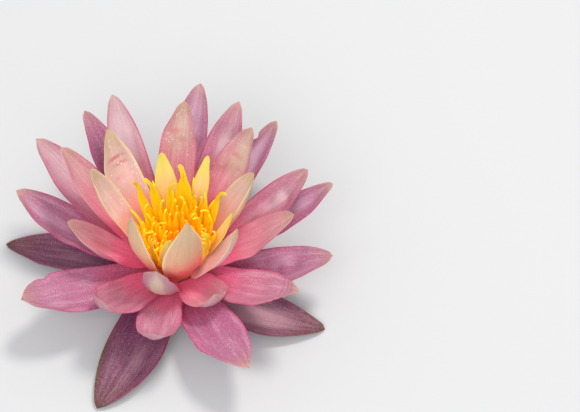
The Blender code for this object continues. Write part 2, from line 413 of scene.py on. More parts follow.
def outline(plain_half, length, look, marks):
    """A factor on the plain half width at each point of a petal."""
    share = plain_half / plain_half.max()
    past = np.arange(ALONG) > int(np.argmax(share))
    fill = np.where(past, share ** (marks.get("blunt", look["blunt"]) - 1), 1.0)
    fill *= 1 + marks.get("claw", look["claw"]) * (1 - ease(U, 0.0, CLAW_END))
    if "finger" in look:
        start, finger = look["finger"]
        slim = ease(U, start - 0.10, start + 0.14)
        fill = fill * (1 - slim) + slim * finger * MM * (1.1 - 0.6 * U) / plain_half
    fill *= 1 + marks.get("low", 0.0) * (0.55 - U)
    tip_zone = min(LONGEST_TIP, marks.get("point", look["point"]) * plain_half[-1] * fill[-1] / length)
    rounding = np.clip(1 - np.clip((U - 1 + tip_zone) / tip_zone, 0, 1) ** 2, BLUNT_END, 1) ** 0.65
    scale = np.repeat((fill * rounding * marks.get("wide", 1.0))[:, None], ACROSS, axis=1)
    for side, at, long, depth in marks.get("notches", []):
        near = np.exp(-(((U - at) / long) ** 2))[:, None] * ease(side * V, 0.2, 1.0)[None]
        scale *= 1 - depth * near
    return scale


trial = outline(np.linspace(4 * MM, 1 * MM, ALONG), 40 * MM, {"blunt": 0.7, "claw": 0.3, "point": 2.2}, {})
print("a wedge grows by these factors from seat to tip:", trial[::9, 0].round(2))

# %% [markdown]
# ## The relief of a petal
# A living petal is never flat. Low swells a fingertip wide and a fine crinkle run over the blade, the margins are
# ruffled, faint pleats follow the veins, and a keel lies along the middle of the back. Near the seat a petal is
# held tight, so all of this fades out there. Dents and wrinkles belong to single petals.

# %% Relief
SWELL_WAVE, CRINKLE_WAVE, RUFFLE_WAVE, PLEAT_WAVE = 15 * MM, 5.5 * MM, 13 * MM, 25 * MM
PLEAT_DEPTH, PLEATS = 0.07 * MM, 15
KEEL_WIDTH, HELD, FREE = 0.16, 0.12, 0.5


def relief(x, y, look, marks, rng):
    """How far each point of a petal stands above its middle surface. x and y are its lengths along and across."""
    u, v = U[:, None], V[None]
    free = ease(u, HELD, FREE)
    rise = look["swell"] * MM * free * swell(x, y, SWELL_WAVE, rng)
    rise += look["crinkle"] * MM * free * swell(x * 0.5, y, CRINKLE_WAVE, rng)
    for side in (-1, 1):
        wave = swell(x, 0 * y, RUFFLE_WAVE, rng)
        rise += look["ruffle"] * MM * free * wave * np.clip(side * v, 0, 1) ** 3
    rise += PLEAT_DEPTH * np.sin(v * PLEATS + 2 * swell(x, y, PLEAT_WAVE, rng)) * free * (1 - ease(u, 0.8, 1.0))
    rise -= look["keel"] * MM * np.exp(-((v / KEEL_WIDTH) ** 2)) * ease(u, 0.1, 0.4)
    for at, off, long, wide, depth in marks.get("dents", []):
        rise -= depth * MM * spot(u, v, at, off, long, wide)
    for low, high, count, depth in marks.get("wrinkles", []):
        window = ease(u, low, low + 0.05) * (1 - ease(u, high - 0.05, high))
        wave = np.sin(math.tau * count * (u - low) / (high - low) + 1.5 * v)
        rise += depth * MM * wave * window * (1 - 0.6 * v**2)
    return rise


trial = {"swell": 0.3, "crinkle": 0.1, "ruffle": 0.1, "keel": 0.1}
trial = relief(40 * MM * U[:, None] + 0 * V, 8 * MM * V[None] + 0 * U[:, None], trial, {}, random.Random(1))
print("the relief of a trial petal runs from", round(trial.min() / MM, 2), "to", round(trial.max() / MM, 2), "mm")

# %% [markdown]
# ## One fine petal
# Now the steps come together: refine the middle surface, fill the outline, move a crowded petal a little at its
# tip, which is its lean, or at its seat, which is its root, then add the relief, the rolls and the curls. The two
# skins are laid out at half a thickness above and below, thinner towards the margins and the tip.

# %% Build one petal
LOOP = [*range(ACROSS), ACROSS - 1, *reversed(range(ACROSS)), 0]
THIN_EDGE, THIN_TIP = 0.30, 0.55
SIDES = np.array([1.0] * ACROSS + [0.5] + [0.0] * ACROSS + [0.5])


def skins(surface, thickness):
    """Closed loops round a middle surface: the lower skin, one margin, the upper skin and the other margin."""
    crosswise = THIN_EDGE + (1 - THIN_EDGE) * (1 - V[None] ** 2)
    thick = thickness * crosswise * (1 - THIN_TIP * ease(U, 0.6, 1.0))[:, None]
    offset = normals(surface) * thick[..., None] / 2
    margins = []
    for edge, beside in ((-1, -2), (0, 1)):
        out = surface[:, edge] - surface[:, beside]
        out *= thick[:, edge, None] / 2 / np.linalg.norm(out, axis=1)[:, None]
        margins.append((surface[:, edge] + out)[:, None])
    right, left = margins
    return list(np.concatenate([surface - offset, right, (surface + offset)[:, ::-1], left], axis=1))


def fine_petal(node, look, marks, finish):
    """Grows one fine petal from the grid of its plain one."""
    rng = random.Random(node)
    grid = GRIDS[node]
    surface = np.einsum("ia,abc,jb->ijc", curve_weights(ROWS, U), grid, curve_weights(grid.shape[1], (V + 1) / 2))
    spine = surface[:, ACROSS // 2, None].copy()
    plain_half = np.linalg.norm(surface[:, -1] - surface[:, 0], axis=1) / 2
    length = float(np.linalg.norm(np.diff(spine[:, 0], axis=0), axis=1).sum())
    surface = spine + (surface - spine) * outline(plain_half, length, look, marks)[..., None]
    surface += (U**1.5)[:, None, None] * np.array(marks.get("lean", (0, 0, 0))) * MM
    surface += ((1 - U) ** 2)[:, None, None] * np.array(marks.get("root", (0, 0, 0))) * MM

    half = np.linalg.norm(surface[:, -1] - surface[:, 0], axis=1) / 2
    x = (U * length)[:, None] + 0 * V[None]
    y = half[:, None] * V[None]
    surface = surface + relief(x, y, look, marks, rng)[..., None] * normals(surface)
    for side, start, radius, low, high, up in marks.get("rolls", []):
        surface = rolled(surface, half, side, start, radius * MM, low, high, up)
    for start, angle, yaw in marks.get("curls", []):
        surface = curled(surface, start, math.radians(angle), math.radians(yaw))

    place = np.stack(np.broadcast_arrays(U[:, None], V[LOOP][None], SIDES[None]), axis=2).reshape(-1, 3)
    # Brown and rose marks are stains and creases; pale marks are partly paler tissue and partly painted sheen.
    stains_and_sheen = [sum((depth * spot(U[:, None], V[None], *where) for *where, depth in marks.get(name, [])), 0 * x)
              for name in ("brown", "rose", "pale")]
    stained_and_sheen = np.stack([stain[:, LOOP] for stain in stains_and_sheen], axis=2).reshape(-1, 3)
    tone = np.zeros_like(place) + (rng.uniform(0, 1), marks.get("dew", 0.0), 0.0)
    layers = {"place": place, "marks": stained_and_sheen, "tone": tone}
    return show(tubes_to_mesh(node + "_fine", [(skins(surface, look["thick"] * MM), layers)]), finish, node)


print("each fine petal will have", ALONG, "loops of", len(LOOP), "points")

# %% [markdown]
# ## Writing finishes as sums
# A finish is a graph of nodes, and a graph is hard to read as code. This small class wraps one output of a node
# and lets Python's own signs add the Math nodes, so that 1 - mask is written just so. Colours go through the Mix
# node instead, because a Math node would turn them grey. Colours are written as on a screen, from 0 to 255, and
# turned into the light values that shaders use.

# %% The Wire class
def paint(red, green, blue):
    """A colour given as on a screen, as light values."""
    return (*(c / 255 / 12.92 if c <= 10 else ((c / 255 + 0.055) / 1.055) ** 2.4 for c in (red, green, blue)), 1.0)


class Wire:
    """One output socket of a node tree."""

    def __init__(self, tree, socket=None):
        self.tree, self.socket = tree, socket

    def add(self, kind, settings, sockets, output=0):
        """Adds a node: its settings first, then the values or wires of its sockets."""
        node = self.tree.nodes.new(kind)
        for name, value in settings.items():
            if name == "stops":
                ramp = node.color_ramp
                while len(ramp.elements) > 1:
                    ramp.elements.remove(ramp.elements[-1])
                ramp.elements[0].position, ramp.elements[0].color = value[0]
                for position, color in value[1:]:
                    ramp.elements.new(position).color = color
                ramp.interpolation = "EASE"
            else:
                setattr(node, name, value)
        for name, value in sockets.items():
            if isinstance(value, Wire):
                self.tree.links.new(value.socket, node.inputs[name])
            else:
                node.inputs[name].default_value = value
        return Wire(self.tree, node.outputs[output])

    def pick(self, output):
        """Another output of the same node."""
        return Wire(self.tree, self.socket.node.outputs[output])

    def sum(self, operation, first, second):
        """One Math node."""
        return self.add("ShaderNodeMath", {"operation": operation}, {0: first, 1: second})

    def __add__(self, other):
        return self.sum("ADD", self, other)

    __radd__ = __add__

    def __sub__(self, other):
        return self.sum("SUBTRACT", self, other)

    def __rsub__(self, other):
        return self.sum("SUBTRACT", other, self)

    def __mul__(self, other):
        return self.sum("MULTIPLY", self, other)

    __rmul__ = __mul__

    def __abs__(self):
        return self.sum("ABSOLUTE", self, 0.0)

    def climb(self, low, high):
        """0 below low, 1 above high, and a smooth climb between them."""
        return self.add("ShaderNodeMapRange", {"interpolation_type": "SMOOTHSTEP"},
                        {"Value": self, "From Min": low, "From Max": high})

    def mix(self, color, other):
        """This mask blends a wired colour towards another, which is a wire or a screen colour."""
        other = other if isinstance(other, Wire) else paint(*other)
        return self.add("ShaderNodeMix", {"data_type": "RGBA"}, {0: self, 6: color, 7: other}, output=2)

    def ramp(self, stops):
        """Colours along this value, from a table of places and screen colours."""
        stops = [(at, paint(*color)) for at, color in stops.items()]
        return self.add("ShaderNodeValToRGB", {"stops": stops}, {"Fac": self})


trial = bpy.data.node_groups.new("trial", "ShaderNodeTree")
answer = 1 - abs(Wire(trial).add("ShaderNodeValue", {}, {})) * 2.0
print("1 - abs(x) * 2 became", len(trial.nodes), "nodes, the last set to", answer.socket.node.operation)
bpy.data.node_groups.remove(trial)

# %% [markdown]
# ## The petals' finish
# Water lily petals are deepest pink in the throat, lighter along the blade, and beige or greenish at the tip.
# Close up they look powdery: thousands of tiny cells glitter in the light, and that glitter is painted as whitish
# flecks. Fine streaks follow the veins, and paler lilac patches drift over the blade, partly paler tissue and partly
# painted sheen. The thin margin shows a deeper line. All whorls share this build and differ only in colours, so one
# function makes the finish of each.

# %% Helpers for every finish
def new_finish(name, roughness, specular, glow, depth):
    """An empty material, its shader with the constants set, and a wire to add nodes with."""
    finish = bpy.data.materials.new(name)
    finish.use_nodes = True
    shader = finish.node_tree.nodes["Principled BSDF"]
    shader.inputs["Roughness"].default_value = roughness
    shader.inputs["Specular IOR Level"].default_value = specular
    shader.inputs["Subsurface Weight"].default_value = glow
    shader.inputs["Subsurface Radius"].default_value = (1.0, 0.5, 0.35)
    shader.inputs["Subsurface Scale"].default_value = depth
    return finish, shader, Wire(finish.node_tree)


def link(shader, name, wire):
    """Feeds one of the shader's sockets from a wire."""
    wire.tree.links.new(wire.socket, shader.inputs[name])


def emboss(shader, height, strength, distance):
    """A relief too fine for the mesh, for the light to catch."""
    sockets = {"Strength": strength, "Distance": distance, "Height": height}
    link(shader, "Normal", height.add("ShaderNodeBump", {}, sockets))


def layer(wire, name):
    """A vector that was stored on the points, split into its three numbers."""
    stored = wire.add("ShaderNodeAttribute", {"attribute_name": name}, {}, output="Vector")
    first = wire.add("ShaderNodeSeparateXYZ", {}, {0: stored})
    return first, first.pick(1), first.pick(2)


def texture(wire, kind, scale, **sockets):
    """A pattern in the flower's own space, with about so many changes in a metre."""
    space = wire.add("ShaderNodeTexCoord", {}, {}, output="Object")
    return wire.add("ShaderNodeTex" + kind, {}, {"Vector": space, "Scale": scale, **sockets})


print("the light values of (255, 128, 0) are", [round(c, 3) for c in paint(255, 128, 0)])

# %% [markdown]
# The petal's layers are mixed from the deepest outwards: the colour from throat to tip, the patches, partly painted
# sheen, the veins as broad streaks and thin threads, pale parts that are partly paler tissue and partly painted sheen,
# the margin's line, rose creases and brown bruises, the powder with its painted glitter, and on top the dew. A drop is
# a small glossy spot in colour, roughness and relief, because as a mesh it would be smaller than the petal's own faces,
# and its near-white colour is a painted glint. Each petal's tint makes its pattern differ from its neighbours'.

# %% Petal finish
MOTTLE, CELLS, DROPS, SHOWERS = 130.0, 1900.0, 700.0, 260.0  # changes in a metre
# The powder's whitish flecks are painted glitter, and the dew's near-white drops are painted glints.
ROSE, BRUISE, POWDER_GLITTER, DEW_GLINT = (202, 92, 104), (92, 54, 40), (255, 240, 242), (255, 248, 246)
MATT, WET = 0.48, 0.12


def petal_finish(name, front, back, edge, patch, patchiness, vein, veining, powder_glitter,
                 pale_sheen=(236, 200, 206), margin=0.91, glow=0.12):
    """The skin of one whorl's petals, from its colours along the upper side and the underside."""
    finish, shader, wire = new_finish(name, roughness=MATT, specular=0.3, glow=glow, depth=1.6 * MM)
    along, across, side = layer(wire, "place")
    brown, rose, pale = layer(wire, "marks")
    tint, dew, _ = layer(wire, "tone")

    def strands(crosswise, lengthwise, seed, detail):
        """Noise that is drawn out along the veins."""
        space = wire.add("ShaderNodeCombineXYZ", {}, {"X": across * crosswise, "Y": along * lengthwise, "Z": seed})
        return wire.add("ShaderNodeTexNoise", {}, {"Vector": space, "Scale": 1.0, "Detail": detail, "Roughness": 0.6})

    streak = strands(crosswise=13.0, lengthwise=1.8, seed=tint * 30.0, detail=5.0)
    sheen = strands(crosswise=4.0, lengthwise=3.5, seed=tint * 50.0 + 7.0, detail=4.0)
    thread = strands(crosswise=42.0, lengthwise=2.6, seed=tint * 20.0 + 3.0, detail=3.0)
    soft = texture(wire, "Noise", MOTTLE, Detail=3.0)
    cells = texture(wire, "Noise", CELLS, Detail=2.0)

    reach = along + 0.10 * (soft - 0.5) + 0.14 * (streak - 0.5)
    # Patches along the sheen noise: partly paler tissue, partly painted sheen.
    top = (sheen.climb(0.45, 0.68) * along.climb(0.2, 0.5) * patchiness).mix(reach.ramp(front), patch)
    color = side.climb(0.3, 0.7).mix(top, reach.ramp(back))
    color = (streak.climb(0.42, 0.70) * veining).mix(color, vein)
    color = (thread.climb(0.50, 0.62) * veining).mix(color, vein)
    # Pale marks blend towards a pale colour: partly paler tissue, partly painted sheen.
    color = ((pale * (0.9 * sheen + 0.7 * streak + 0.5 * soft)).climb(0.15, 1.2) * 0.9).mix(color, pale_sheen)
    color = (abs(across).climb(margin, 1.0) * (1 - along.climb(0.85, 0.97)) * 0.85).mix(color, edge)
    color = (rose * (0.7 + 0.6 * streak)).climb(0.1, 1.0).mix(color, ROSE)
    color = (brown * (0.45 + streak + 0.3 * cells)).climb(0.15, 1.0).mix(color, BRUISE)
    # Painted glitter: whitish flecks where the tiny cells catch the light.
    color = (cells.climb(0.45, 0.68) * powder_glitter).mix(color, POWDER_GLITTER)
    color = (tint * 0.12 * (1 - side)).mix(color, patch)

    bead = 1 - texture(wire, "Voronoi", DROPS).climb(0.16, 0.30)
    drops = bead * texture(wire, "Noise", SHOWERS, Detail=1.0).climb(0.50, 0.58) * dew * (1 - side)
    # The drops' near-white base colour is a painted glint.
    link(shader, "Base Color", (drops * 0.75).mix(color, DEW_GLINT))
    link(shader, "Roughness", MATT - (MATT - WET) * drops)
    emboss(shader, streak * 0.7 + thread * 0.3 + cells * 0.2 + drops * 0.8, strength=0.5, distance=0.4 * MM)
    return finish


print("a drop's middle has roughness", WET, "on a petal of", MATT)

# %% [markdown]
# ## Colours of the whorls
# From the outside in, the petals go from cool pink to warm cream and at last to gold. The table lists colours
# along the upper side and the underside, from the seat to the tip, then the margin, the pale patches and the veins.

# %% Make the petal finishes
FINISHES = {
    # The sepals' own dark purple and brown are deepened here by about a third as painted shade.
    "sepal": petal_finish(
        "sepal_skin",
        front={0.0: (104, 36, 70), 0.3: (110, 42, 86), 0.7: (103, 44, 72), 0.92: (92, 42, 44), 1.0: (70, 40, 32)},
        back={0.0: (78, 84, 48), 0.5: (96, 84, 56), 0.9: (92, 62, 50), 1.0: (70, 44, 34)},
        edge=(140, 22, 78), patch=(146, 96, 120), patchiness=0.50, vein=(138, 84, 104), veining=0.42, powder_glitter=0.08,
        pale_sheen=(184, 136, 148)),
    "outer_petal": petal_finish(
        "outer_skin",
        front={0.0: (236, 70, 118), 0.25: (202, 72, 118), 0.5: (172, 92, 130), 0.82: (166, 102, 132),
               0.94: (164, 120, 122), 1.0: (190, 156, 122)},
        back={0.0: (140, 80, 96), 0.5: (160, 104, 132), 0.9: (170, 120, 128), 1.0: (160, 120, 96)},
        edge=(186, 36, 108), patch=(212, 166, 184), patchiness=0.45, vein=(174, 68, 110), veining=0.46, powder_glitter=0.13,
        pale_sheen=(216, 180, 200)),
    "second_petal": petal_finish(
        "second_skin",
        front={0.0: (250, 98, 146), 0.25: (238, 98, 138), 0.5: (196, 112, 138), 0.82: (178, 118, 138),
               0.95: (172, 132, 128), 1.0: (190, 156, 128)},
        back={0.0: (196, 96, 116), 0.5: (180, 118, 136), 0.85: (178, 128, 144), 1.0: (180, 140, 142)},
        edge=(196, 46, 108), patch=(220, 172, 184), patchiness=0.45, vein=(188, 74, 116), veining=0.44, powder_glitter=0.13,
        pale_sheen=(214, 186, 190)),
    "third_petal": petal_finish(
        "third_skin",
        front={0.0: (242, 90, 144), 0.28: (248, 110, 152), 0.5: (216, 130, 150), 0.8: (196, 142, 148),
               0.93: (182, 150, 134), 1.0: (190, 164, 130)},
        back={0.0: (226, 104, 124), 0.4: (196, 116, 134), 0.7: (180, 136, 148), 0.9: (178, 146, 150),
              1.0: (180, 154, 140)},
        edge=(210, 88, 120), patch=(232, 184, 192), patchiness=0.4, vein=(206, 86, 114), veining=0.42, powder_glitter=0.13,
        pale_sheen=(208, 192, 164)),
    "inner_petal": petal_finish(
        "inner_skin",
        front={0.0: (255, 140, 96), 0.25: (250, 162, 142), 0.5: (230, 188, 180), 0.76: (210, 188, 174),
               0.90: (194, 180, 144), 1.0: (192, 180, 124)},
        back={0.0: (255, 96, 124), 0.24: (255, 114, 116), 0.40: (250, 158, 126), 0.58: (224, 184, 140),
              0.85: (200, 182, 140), 1.0: (200, 186, 136)},
        edge=(236, 216, 166), patch=(246, 218, 212), patchiness=0.4, vein=(224, 140, 132), veining=0.32, powder_glitter=0.12,
        margin=0.84, glow=0.30),
    "yellow_petal": petal_finish(
        "yellow_skin",
        front={0.0: (255, 190, 96), 0.3: (255, 206, 118), 0.6: (254, 222, 146), 0.84: (255, 238, 100),
               1.0: (255, 242, 40)},
        back={0.0: (255, 160, 90), 0.5: (240, 196, 120), 1.0: (236, 214, 96)},
        edge=(255, 236, 56), patch=(255, 236, 190), patchiness=0.4, vein=(246, 184, 84), veining=0.3, powder_glitter=0.10,
        margin=0.72, glow=0.30),
    "petal_stamen": petal_finish(
        "gold_skin",
        front={0.0: (255, 176, 0), 0.4: (255, 208, 0), 0.75: (255, 222, 8), 1.0: (255, 234, 70)},
        back={0.0: (255, 176, 4), 0.5: (255, 204, 16), 1.0: (255, 228, 70)},
        edge=(255, 218, 40), patch=(255, 214, 50), patchiness=0.3, vein=(250, 160, 0), veining=0.35, powder_glitter=0.0),
}
for kind, finish in FINISHES.items():
    print(kind, "finish with", len(finish.node_tree.nodes), "nodes")

# %% [markdown]
# ## The build of each whorl
# Outer petals are broad and a little thick, inner ones thin and soft, and the innermost end in a narrow finger.
# One could sculpt each petal, but a whorl shares its build, so a table gives each whorl's traits in the order of
# their names, with the reliefs and the thickness in millimetres.

# %% Looks of the whorls
TRAITS = ("point", "blunt", "claw", "swell", "ruffle", "crinkle", "keel", "thick")
LOOKS = {
    "sepal": (2.2, 0.80, 0.3, 0.30, 0.15, 0.08, 0.10, 0.9),
    "outer_petal": (2.2, 0.72, 0.3, 0.35, 0.15, 0.13, 0.20, 0.8),
    "second_petal": (2.2, 0.72, 0.3, 0.35, 0.15, 0.13, 0.15, 0.8),
    "third_petal": (2.2, 0.72, 0.4, 0.35, 0.15, 0.12, 0.12, 0.7),
    "inner_petal": (2.2, 0.78, 0.7, 0.25, 0.12, 0.08, 0.08, 0.7),
    "yellow_petal": (2.2, 0.85, 0.4, 0.15, 0.10, 0.05, 0.05, 0.6),
    "petal_stamen": (1.4, 1.0, 0.5, 0.15, 0.10, 0.03, 0.05, 0.9),
}
LOOKS = {kind: dict(zip(TRAITS, row)) for kind, row in LOOKS.items()}
LOOKS["petal_stamen"]["finger"] = (0.74, 1.15)
print(len(LOOKS), "whorls with", len(TRAITS), "traits each")

# %% [markdown]
# ## The marks of single petals
# This table holds what time and weather did to single petals, beside traits that differ from their whorl's. A
# stain, which is brown, rose or pale, and a dent: place along, place across, half length, half width, strength or
# depth. Pale marks are partly paler tissue and partly painted sheen. A notch: side, place along, half length, depth.
# A roll: side, where it starts across, radius, from, to,
# and 1 for upwards. A curl: where it starts, angle, yaw. Wrinkles: from, to, count, depth. Dew runs from 0 to 1,
# and lean and root are moves in millimetres.

# %% Marks of single petals
MARKS = {
    "sepal_2": {"brown": [(1.0, 0.0, 0.07, 2.0, 1.0)], "pale": [(0.50, 0.3, 0.28, 0.5, 0.45)]},
    "sepal_3": {"brown": [(1.0, 0.0, 0.06, 2.0, 1.0), (0.75, -1.0, 0.3, 0.22, 0.9)],
                "pale": [(0.66, 0.25, 0.28, 0.40, 0.6)]},
    "sepal_4": {"brown": [(1.0, 0.0, 0.05, 2.0, 0.9), (0.85, 1.0, 0.16, 0.2, 0.7), (0.85, -1.0, 0.16, 0.2, 0.5)],
                "pale": [(0.50, -0.1, 0.35, 0.8, 1.1)]},
    "outer_petal_1": {"point": 1.2, "pale": [(0.60, 0.2, 0.35, 0.7, 0.8)]},
    "outer_petal_2": {"notches": [(1, 0.70, 0.03, 0.18), (1, 0.85, 0.026, 0.34)],
                      "dents": [(0.50, 0.3, 0.06, 0.30, 1.2), (0.64, 0.1, 0.05, 0.3, 1.2)],
                      "rose": [(0.60, 0.6, 0.03, 0.5, 0.7), (0.48, 0.2, 0.03, 0.4, 0.5)],
                      "pale": [(0.70, 0.0, 0.24, 0.5, 1.2)]},
    "outer_petal_3": {"dents": [(0.55, 0.25, 0.07, 0.30, 1.2), (0.75, -0.2, 0.06, 0.3, 0.9)],
                      "pale": [(0.78, 0.0, 0.26, 0.9, 0.8), (0.52, 0.1, 0.10, 0.4, 0.6)]},
    "outer_petal_4": {"brown": [(1.0, 0.0, 0.12, 2.0, 0.3)]},
    "outer_petal_5": {"pale": [(0.75, 0.2, 0.30, 0.6, 0.6)]},
    "outer_petal_6": {"notches": [(-1, 0.80, 0.035, 0.13)], "brown": [(1.0, 0.0, 0.02, 2.0, 0.6)], "blunt": 0.6},
    "outer_petal_7": {"blunt": 0.85, "point": 1.2},
    "outer_petal_8": {"point": 1.2, "pale": [(0.62, 0.3, 0.16, 0.35, 0.6)],
                      "dents": [(0.5, 0.35, 0.06, 0.3, 1.6), (0.6, 0.0, 0.04, 0.35, 1.1),
                                (0.72, 0.1, 0.05, 0.3, 1.0)]},
    "second_petal_1": {"point": 1.2, "pale": [(0.70, 0.1, 0.16, 0.45, 0.8), (0.46, 0.3, 0.12, 0.35, 0.5)],
                       "dents": [(0.62, 0.3, 0.06, 0.3, 1.3), (0.45, -0.2, 0.05, 0.3, 1.2),
                                 (0.76, -0.1, 0.04, 0.4, 0.9)]},
    "second_petal_2": {"dents": [(0.55, 0.1, 0.08, 0.3, 1.0), (0.72, -0.3, 0.06, 0.3, 0.8)],
                       "pale": [(0.68, 0.0, 0.14, 0.4, 0.8), (0.85, 0.0, 0.16, 1.0, 0.4)]},
    "second_petal_3": {"pale": [(0.78, 0.0, 0.36, 1.4, 1.0)]},
    "second_petal_4": {"pale": [(0.78, 0.0, 0.30, 1.0, 0.8)], "rose": [(0.86, 0.5, 0.03, 0.4, 0.5)]},
    "second_petal_5": {"blunt": 0.45, "rolls": [(-1, 0.55, 2.2, 0.72, 1.1, 1)], "curls": [(0.90, 40, 0)],
                       "notches": [(1, 0.93, 0.02, 0.12)]},
    "second_petal_6": {"blunt": 0.60, "curls": [(0.90, 80, 0)]},
    "second_petal_7": {"wrinkles": [(0.78, 0.97, 4, 0.28)], "blunt": 0.85, "point": 1.0},
    "third_petal_1": {"rolls": [(-1, 0.80, 1.8, 0.5, 0.98, 1)], "pale": [(0.85, -1.0, 0.3, 0.22, 0.9)]},
    # third_petal_2's brown mark makes the middle of its blade darker and browner.
    "third_petal_2": {"brown": [(0.52, 0.05, 0.16, 0.16, 0.30)], "dents": [(0.60, 0.1, 0.09, 0.35, 0.9)],
                      "rolls": [(-1, 0.78, 1.0, 0.55, 1.0, 1)], "pale": [(0.76, -0.1, 0.26, 0.8, 0.9)],
                      "dew": 0.4, "rose": [(0.75, 0.2, 0.03, 0.5, 0.6), (0.66, -0.3, 0.03, 0.4, 0.5),
                                           (0.5, 0.0, 0.12, 0.08, 0.4)]},
    "third_petal_3": {"rose": [(0.78, 0.3, 0.03, 0.5, 0.6), (0.72, -0.1, 0.03, 0.4, 0.5)],
                      "pale": [(0.8, 0.0, 0.28, 1.0, 0.75)], "dew": 0.5},
    "third_petal_4": {"pale": [(0.80, 1.0, 0.35, 0.22, 0.9), (0.75, -0.2, 0.2, 0.5, 0.4)]},
    "third_petal_5": {"rolls": [(1, 0.70, 1.0, 0.35, 1.02, 1)], "pale": [(0.85, 1.0, 0.30, 0.28, 1.0)]},
    "third_petal_6": {"blunt": 0.5, "pale": [(0.68, 0.05, 0.26, 0.45, 1.3)], "rolls": [(-1, 0.55, 3.0, 0.45, 1.1, 1)],
                      "dents": [(0.78, 0.3, 0.10, 0.2, 0.8)], "lean": (-0.8, 0.0, 3.2),
                      "notches": [(1, 0.85, 0.05, 0.15)]},
    "third_petal_7": {"blunt": 0.45, "rose": [(0.22, 0.0, 0.12, 0.8, 0.4)], "curls": [(0.80, 50, 20)]},
    "inner_petal_1": {"rolls": [(-1, 0.60, 0.95, 0.22, 1.05, 1)], "pale": [(0.6, 0.0, 0.25, 0.5, 0.5)]},
    "inner_petal_2": {"dew": 1.0, "pale": [(0.56, 0.0, 0.14, 0.4, 0.6)],
                      "rose": [(0.76, 0.0, 0.02, 0.7, 0.85), (0.7, -0.2, 0.022, 0.6, 0.7), (0.6, 0.2, 0.02, 0.4, 0.5)]},
    "inner_petal_3": {"dew": 0.8, "rolls": [(1, 0.76, 0.8, 0.15, 1.0, 1)], "pale": [(0.6, 0.0, 0.25, 0.5, 0.5)]},
    "inner_petal_4": {"low": 0.55, "blunt": 0.9, "wide": 1.06, "root": (0, 0, 1.5)},
    "inner_petal_5": {"low": 0.35, "blunt": 1.0, "claw": 0.25, "wide": 0.97, "root": (0.2, 1.0, 2.6)},
    "inner_petal_6": {"low": 0.4, "root": (-1.0, 0.2, 0.3), "pale": [(0.40, 0.0, 0.40, 3.0, 1.8)]},
    "yellow_petal_1": {"rolls": [(-1, 0.50, 0.8, 0.15, 1.0, 1)]},
    "petal_stamen_1": {"curls": [(0.74, 55, 70)], "lean": (1.0, 3.5, 2.0)},
    "petal_stamen_2": {"curls": [(0.74, 40, 110)]},
    "petal_stamen_3": {"curls": [(0.74, 50, -80)]},
    "petal_stamen_4": {"curls": [(0.78, 35, 120)], "wide": 1.45},
    "petal_stamen_5": {"curls": [(0.76, 55, -40)]},
    "petal_stamen_6": {"curls": [(0.74, 60, 120)]},
    "petal_stamen_7": {"curls": [(0.76, 80, -95)], "lean": (-1.2, 3.5, 2.5)},
    "petal_stamen_8": {"curls": [(0.76, 60, 80)]},
    "petal_stamen_9": {"curls": [(0.74, 40, 30)]},
    "petal_stamen_10": {"curls": [(0.78, 35, -30)]},
}
print(len(MARKS), "of", len(PETAL_NODES), "petals have marks of their own")

# %% [markdown]
# ## All the petals
# Every petal is now grown from its grid, its whorl's build, its own marks and its whorl's finish. The volume of
# each is measured, because it would come out below zero if a petal were inside out.

# %% Grow the petals
tissue = []
for node in PETAL_NODES:
    kind = node.rsplit("_", 1)[0]
    tissue.append(volume(fine_petal(node, LOOKS[kind], MARKS.get(node, {}), FINISHES[kind]).data) / MM**3)
print(len(tissue), "petals of", round(min(tissue)), "to", round(max(tissue)), "cubic millimetres")

# %% [markdown]
# ## Stamens
# A water lily has dozens of stamens: flat orange straps that stand close together, with yellow anthers and pale
# tips that curl. The plain model has three rings of simple spikes. Hair curves would be quick, but they leave no
# closed mesh. Here each ring becomes a crowd of separate straps: the heading of each turns along its length, so
# that the outer ones lean out and hook back, and the inner ones bow over the middle. Each is one closed tube with
# a flat section and a groove down its inner face.

# %% Build one stamen
STRAP_STEPS, STRAP_SIDES = 14, 10
GROOVE, ANTHER_END, TAPER_END, ROUND_TIP = 0.35, 0.50, 0.86, 0.90


def strap(start, outward, length, headings, lean, width, thick):
    """Loops of a flat strap whose heading follows a list of angles above the horizon, and its points' places."""
    across = np.cross(UP, outward)
    angles = np.radians(curve_weights(len(headings), np.linspace(0, 1, STRAP_STEPS + 1)) @ np.array(headings, float))
    at = np.array(start, float)
    loops, places = [], []
    for k, angle in enumerate(angles):
        t = k / STRAP_STEPS
        along = outward * math.cos(angle) + UP * math.sin(angle)
        inner = UP * math.cos(angle) - outward * math.sin(angle)
        taper = 1 - 0.58 * float(ease(t, ANTHER_END, TAPER_END))
        taper *= math.sqrt(max(1 - (max(t - ROUND_TIP, 0) / 0.11) ** 2, 0.03))
        broad = width / 2 * (0.75 + 0.4 * math.sin(math.pi * min(t * 1.4, 1.0))) * taper
        deep = thick / 2 * (0.5 + 0.5 * taper)
        ring = []
        for j in range(STRAP_SIDES):
            turn = math.tau * (j + 0.5) / STRAP_SIDES
            groove = GROOVE * max(math.sin(turn), 0.0) ** 6
            ring.append(at + across * broad * math.cos(turn) + inner * deep * (math.sin(turn) - groove))
            places.append((t, math.sin(turn), 0.0))
        loops.append(np.array(ring))
        at = at + (along + across * lean * t) * length / STRAP_STEPS
    return loops, np.array(places)


trial = strap((0, 0, 0), np.array([1.0, 0, 0]), 15 * MM, (90, 90, 60, 0, -60), 0.0, 2 * MM, 1 * MM)[0]
print("a hooked trial strap 15 mm long is", round(max(loop[:, 2].max() for loop in trial) / MM, 1), "mm tall")

# %% [markdown]
# The straps are glossy where pollen is damp. Their finish runs from burnt orange at the foot, their own colour deepened
# there as painted shade where they crowd and shade each other, through gold to a pale tip, with a lighter anther down
# each side of the groove.
# Light passes from one thin strap to the next. A slight glow of the strap's own colour, painted light, stands for it.

# %% Stamen finish
GRAIN, STRAP_PAINTED_GLOW = 1800.0, 0.13


